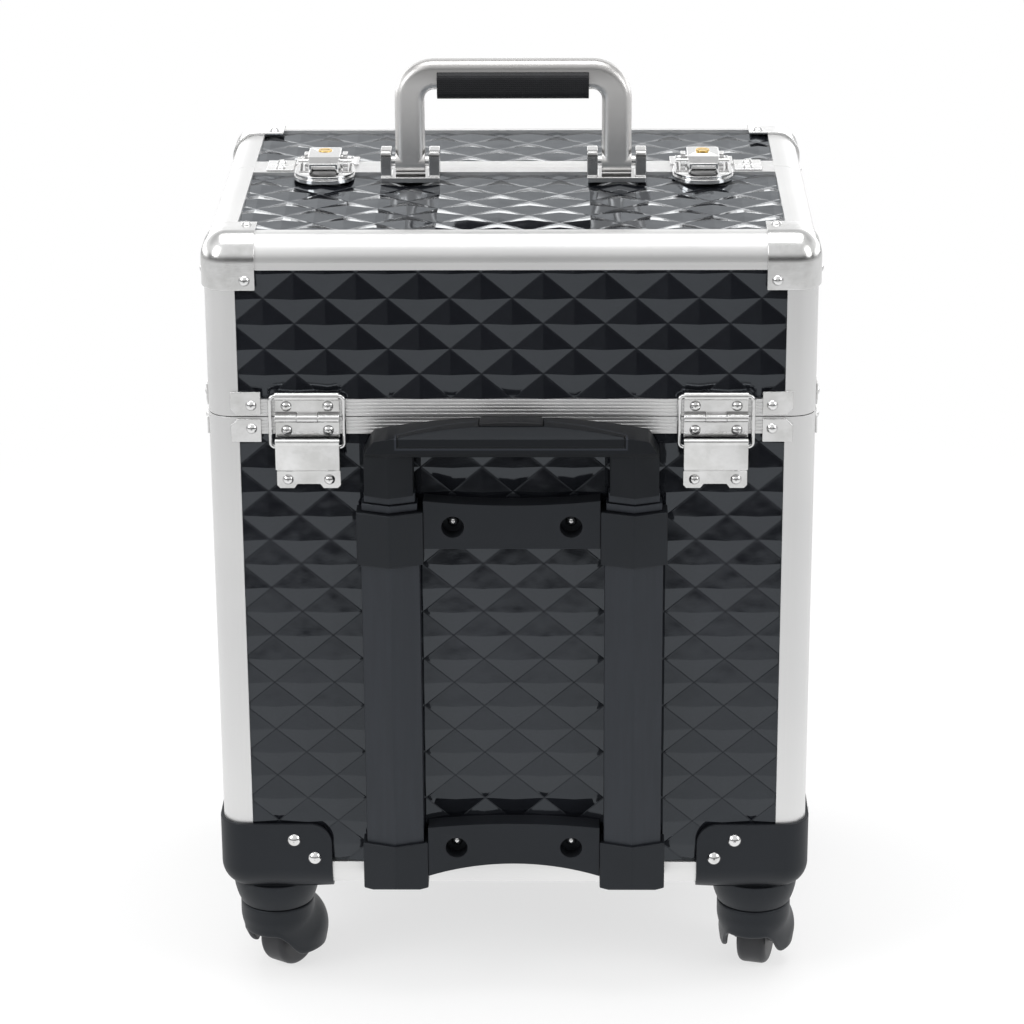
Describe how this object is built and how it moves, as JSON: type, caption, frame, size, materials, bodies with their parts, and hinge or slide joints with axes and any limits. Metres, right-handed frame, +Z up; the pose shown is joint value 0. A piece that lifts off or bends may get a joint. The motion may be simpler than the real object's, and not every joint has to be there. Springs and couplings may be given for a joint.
{
  "type": "rolling makeup case",
  "caption": "Upright hard case with embossed panels, aluminium edges, split hinged lids, draw latches, folding carry handle, telescopic trolley and swivel casters.",
  "frame": {"origin": "on the floor under the middle of the whole object's bounding box", "axes": "+Z up; the trolley stands on the -Y face; +X to the right when the trolley faces the viewer"},
  "size_m": [0.3692, 0.298, 0.5645],
  "materials": {
    "panel": "glossy embossed sheet",
    "lining": "napped cloth",
    "rail": "satin anodised",
    "steel": "brushed zinc plate",
    "chrome": "bright plate",
    "brass": "polished",
    "nickel": "satin nickel plate",
    "soft_black": "matte, fine grain",
    "tube_black": "black satin coat",
    "wheel": "matte",
    "plastic": "fine moulded grain"
  },
  "bodies": {
    "base": {"base_walls": "panel", "bottom_panel": "panel", "base_lining": "lining", "base_frame_rails": "rail", "base_rim_rails": "rail", "base_rim_plates": "steel", "hinge_lower_leaves": "steel", "hinge_keepers": "steel", "hinge_pins": "steel", "caster_housings": "plastic", "base_rivets": "chrome", "trolley_tubes": "plastic", "trolley_tube_ends": "plastic", "trolley_bridges": "plastic", "trolley_screws": "chrome"},
    "near_lid": {"near_lid_walls": "panel", "near_lid_top": "panel", "near_lid_lining": "lining", "near_lid_frame_rails": "rail", "near_lid_rim_rails": "rail", "near_lid_corner_caps": "steel", "near_lid_plates": "steel", "near_hinge_leaves": "steel", "near_lid_rivets": "chrome", "handle_brackets": "nickel", "near_lid_pins": "steel", "lock_bases": "chrome"},
    "far_lid": {"far_lid_walls": "panel", "far_lid_top": "panel", "far_lid_lining": "lining", "far_lid_frame_rails": "rail", "far_lid_rim_rails": "rail", "far_lid_corner_caps": "steel", "far_lid_plates": "steel", "far_hinge_leaves": "steel", "far_lid_rivets": "chrome", "lock_strikes": "chrome"},
    "near_stays": {"near_stay_loops": "chrome"},
    "far_stays": {"far_stay_loops": "chrome"},
    "handle": {"carry_handle": "nickel", "handle_grip": "soft_black"},
    "lever_left": {"lock_lever_left": "chrome"},
    "lever_right": {"lock_lever_right": "chrome"},
    "bail_left": {"lock_bail_left": "chrome"},
    "bail_right": {"lock_bail_right": "chrome"},
    "key_left": {"key_cylinder_left": "brass"},
    "key_right": {"key_cylinder_right": "brass"},
    "trolley_mid": {"trolley_mid_tubes": "tube_black"},
    "trolley_inner": {"trolley_inner_tubes": "tube_black", "trolley_grip": "plastic"},
    "release": {"release_button": "soft_black", "release_rods": "steel"},
    "fork_1": {"caster_fork_1": "plastic"},
    "wheel_1": {"caster_wheel_1": "wheel"},
    "fork_2": {"caster_fork_2": "plastic"},
    "wheel_2": {"caster_wheel_2": "wheel"},
    "fork_3": {"caster_fork_3": "plastic"},
    "wheel_3": {"caster_wheel_3": "wheel"},
    "fork_4": {"caster_fork_4": "plastic"},
    "wheel_4": {"caster_wheel_4": "wheel"}
  },
  "joints": [
    {"name": "near_lid_hinge", "type": "hinge", "parent": "base", "child": "near_lid", "pos_m": [0, -0.12705, 0.381], "axis": [-1, 0, 0], "range_deg": [-90, 0]},
    {"name": "far_lid_hinge", "type": "hinge", "parent": "base", "child": "far_lid", "pos_m": [0, 0.14295, 0.381], "axis": [-1, 0, 0], "range_deg": [0, 90]},
    {"name": "near_stay_pivot", "type": "hinge", "parent": "near_lid", "child": "near_stays", "pos_m": [0, -0.12705, 0.3947], "axis": [-1, 0, 0], "range_deg": [0, 64.4]},
    {"name": "far_stay_pivot", "type": "hinge", "parent": "far_lid", "child": "far_stays", "pos_m": [0, 0.14295, 0.3947], "axis": [-1, 0, 0], "range_deg": [-64.4, 0]},
    {"name": "carry_handle_pivot", "type": "hinge", "parent": "near_lid", "child": "handle", "pos_m": [0, 0.00595, 0.501], "axis": [1, 0, 0], "range_deg": [-90, 90]},
    {"name": "lock_lever_left_pivot", "type": "hinge", "parent": "near_lid", "child": "lever_left", "pos_m": [-0.116, 0.02695, 0.4976], "axis": [-1, 0, 0], "range_deg": [0, 100]},
    {"name": "lock_bail_left_pivot", "type": "hinge", "parent": "lever_left", "child": "bail_left", "pos_m": [-0.116, 0.01695, 0.4981], "axis": [-1, 0, 0], "range_deg": [-125.2, 0]},
    {"name": "key_left_turn", "type": "hinge", "parent": "lever_left", "child": "key_left", "pos_m": [-0.116, 0.01995, 0.502], "axis": [0, 0, 1], "range_deg": [0, 90]},
    {"name": "lock_lever_right_pivot", "type": "hinge", "parent": "near_lid", "child": "lever_right", "pos_m": [0.116, 0.02695, 0.4976], "axis": [-1, 0, 0], "range_deg": [0, 100]},
    {"name": "lock_bail_right_pivot", "type": "hinge", "parent": "lever_right", "child": "bail_right", "pos_m": [0.116, 0.01695, 0.4981], "axis": [-1, 0, 0], "range_deg": [-125.2, 0]},
    {"name": "key_right_turn", "type": "hinge", "parent": "lever_right", "child": "key_right", "pos_m": [0.116, 0.01995, 0.502], "axis": [0, 0, 1], "range_deg": [0, 90]},
    {"name": "trolley_lower_stage", "type": "slide", "parent": "base", "child": "trolley_mid", "axis": [0, 0, 1], "range_m": [0, 0.185]},
    {"name": "trolley_upper_stage", "type": "slide", "parent": "trolley_mid", "child": "trolley_inner", "axis": [0, 0, 1], "range_m": [0, 0.185]},
    {"name": "release_press", "type": "slide", "parent": "trolley_inner", "child": "release", "axis": [0, 0, -1], "range_m": [0, 0.004], "stiffness_N_per_m": 1500, "springref_m": -0.004},
    {"name": "caster_1_swivel", "type": "hinge", "parent": "base", "child": "fork_1", "pos_m": [-0.15, -0.09405, 0.051], "axis": [0, 0, 1], "continuous": true},
    {"name": "caster_1_roll", "type": "hinge", "parent": "fork_1", "child": "wheel_1", "pos_m": [-0.14364, -0.08387, 0.021], "axis": [-0.848, 0.5299, 0], "continuous": true},
    {"name": "caster_2_swivel", "type": "hinge", "parent": "base", "child": "fork_2", "pos_m": [0.15, -0.09405, 0.051], "axis": [0, 0, 1], "continuous": true},
    {"name": "caster_2_roll", "type": "hinge", "parent": "fork_2", "child": "wheel_2", "pos_m": [0.1529, -0.08241, 0.021], "axis": [-0.9703, 0.2419, 0], "continuous": true},
    {"name": "caster_3_swivel", "type": "hinge", "parent": "base", "child": "fork_3", "pos_m": [-0.15, 0.10995, 0.051], "axis": [0, 0, 1], "continuous": true},
    {"name": "caster_3_roll", "type": "hinge", "parent": "fork_3", "child": "wheel_3", "pos_m": [-0.15688, 0.10012, 0.021], "axis": [0.8192, -0.5736, 0], "continuous": true},
    {"name": "caster_4_swivel", "type": "hinge", "parent": "base", "child": "fork_4", "pos_m": [0.15, 0.10995, 0.051], "axis": [0, 0, 1], "continuous": true},
    {"name": "caster_4_roll", "type": "hinge", "parent": "fork_4", "child": "wheel_4", "pos_m": [0.15563, 0.09935, 0.021], "axis": [0.8829, 0.4695, 0], "continuous": true}
  ],
  "couplings": [
    {"joint": "near_stay_pivot", "follows": "near_lid_hinge", "ratio": -0.71355},
    {"joint": "far_stay_pivot", "follows": "far_lid_hinge", "ratio": -0.71355},
    {"joint": "lock_bail_left_pivot", "follows": "lock_lever_left_pivot", "ratio": -1.25},
    {"joint": "lock_bail_right_pivot", "follows": "lock_lever_right_pivot", "ratio": -1.25}
  ]
}
